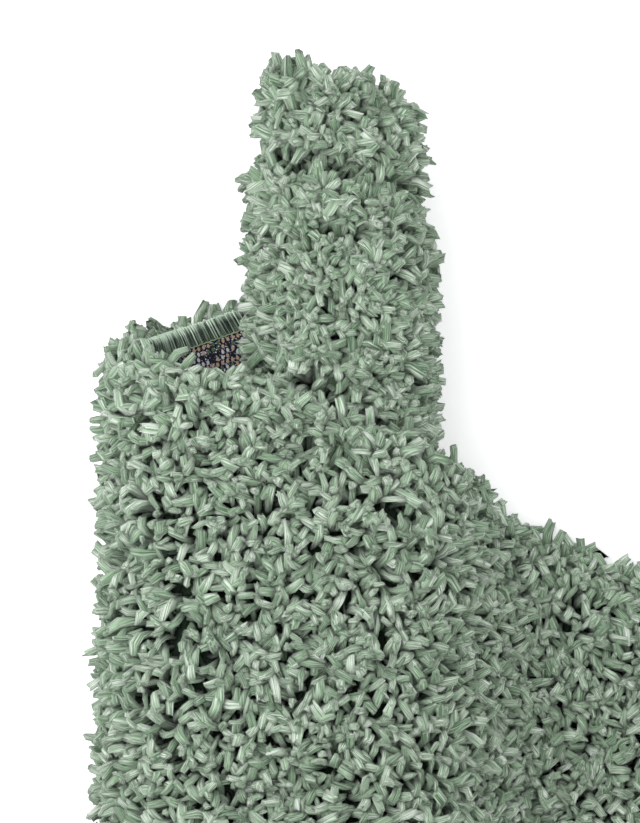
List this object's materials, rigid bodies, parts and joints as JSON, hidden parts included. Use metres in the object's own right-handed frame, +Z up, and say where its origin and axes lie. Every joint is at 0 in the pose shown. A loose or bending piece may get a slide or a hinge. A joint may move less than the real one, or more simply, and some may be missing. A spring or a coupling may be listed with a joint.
{
  "type": "bath mat",
  "caption": "Sage-green shaggy bath mat with an overcast edge, lying pile-up on the floor with one end loosely rolled askew underneath itself.",
  "frame": {"origin": "centre of the object's box, at floor level", "axes": "+Z up; +Y along the roll, towards the end where the roll sticks out; +X across the roll, towards the open end of the mat"},
  "size_m": [0.3959, 0.7854, 0.1084],
  "materials": {
    "pile": "matte",
    "ground_cloth": "matte",
    "edge_cord": "matte",
    "overcasting": "satin",
    "lock_thread": "satin"
  },
  "bodies": {
    "root": {"ground_cloth": "ground_cloth", "pile_flap": "pile", "pile_crown": "pile", "pile_fold": "pile", "pile_under": "pile", "pile_collar": "pile", "pile_head": "pile", "edge_cord_far": "edge_cord", "edge_cord_near": "edge_cord", "edge_cord_inner": "edge_cord", "edge_cord_outer": "edge_cord", "overcast_far": "overcasting", "overcast_near": "overcasting", "overcast_inner": "overcasting", "overcast_outer": "overcasting", "lock_thread_far": "lock_thread", "lock_thread_near": "lock_thread", "lock_thread_inner": "lock_thread", "lock_thread_outer": "lock_thread"}
  },
  "joints": []
}
